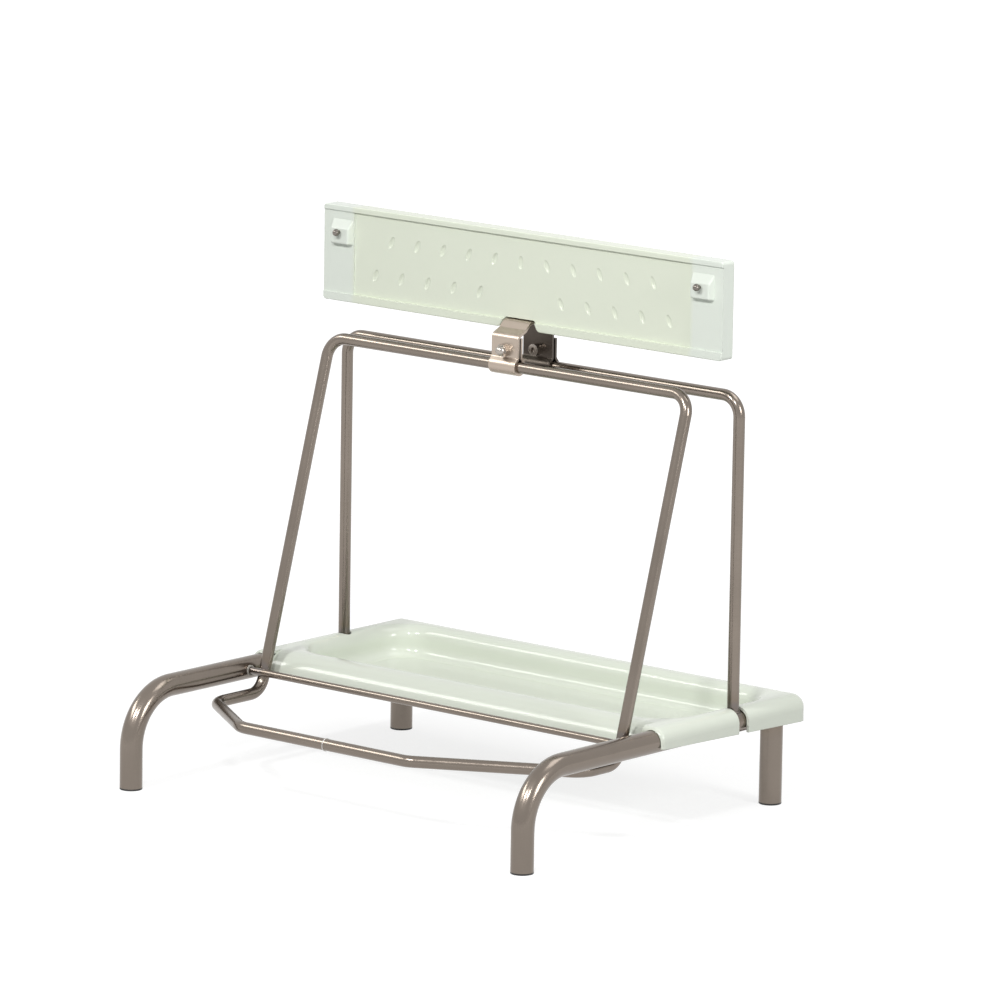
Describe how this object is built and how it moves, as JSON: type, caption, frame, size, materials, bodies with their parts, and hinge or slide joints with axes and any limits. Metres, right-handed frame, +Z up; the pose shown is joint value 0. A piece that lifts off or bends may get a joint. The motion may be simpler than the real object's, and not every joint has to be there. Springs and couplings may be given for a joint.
{
  "type": "foot-operated bag stand",
  "caption": "Freestanding steel-tube bag stand with a foot pedal frame that swings a moulded backboard, and a moulded tray above the base.",
  "frame": {"origin": "on the floor under the centre of the bounding box", "axes": "+X along the bars from left to right, +Y from the pedal to the tray's back, +Z up"},
  "size_m": [0.5896, 0.4754, 0.612],
  "materials": {
    "tube_steel": "polished stainless",
    "sheet_steel": "satin",
    "fastener_steel": "bright",
    "dark_nylon": "satin",
    "pale_nylon": "satin",
    "black_rubber": "matte",
    "tray_plastic": "gloss",
    "board_plastic": "satin gloss"
  },
  "bodies": {
    "stand": {"left_side_tube": "tube_steel", "right_side_tube": "tube_steel", "rear_cross_tube": "tube_steel", "rear_left_leg": "tube_steel", "rear_right_leg": "tube_steel", "front_left_plug": "dark_nylon", "front_right_plug": "dark_nylon", "rear_left_plug": "dark_nylon", "rear_right_plug": "dark_nylon", "tray": "tray_plastic", "left_upright": "tube_steel", "right_upright": "tube_steel", "rear_bar": "tube_steel", "left_axle_bush": "pale_nylon", "right_axle_bush": "pale_nylon", "rear_clip": "sheet_steel", "rear_clip_screw": "fastener_steel", "rear_clip_nut": "fastener_steel", "stop_buffer": "black_rubber", "buffer_stud": "fastener_steel"},
    "swing_frame": {"front_bar": "tube_steel", "left_swing_rod": "tube_steel", "right_swing_rod": "tube_steel", "pedal_bar": "tube_steel", "pivot_axle": "tube_steel", "clip_strap": "sheet_steel", "clip_bolt": "fastener_steel", "clip_nut": "fastener_steel", "backboard": "board_plastic", "ball_studs": "fastener_steel", "stud_nuts": "fastener_steel", "strap_screws": "fastener_steel"}
  },
  "joints": [
    {"name": "pedal_swing", "type": "hinge", "parent": "stand", "child": "swing_frame", "pos_m": [0, -0.04615, 0.1065], "axis": [1, 0, 0], "range_deg": [0, 28]}
  ]
}
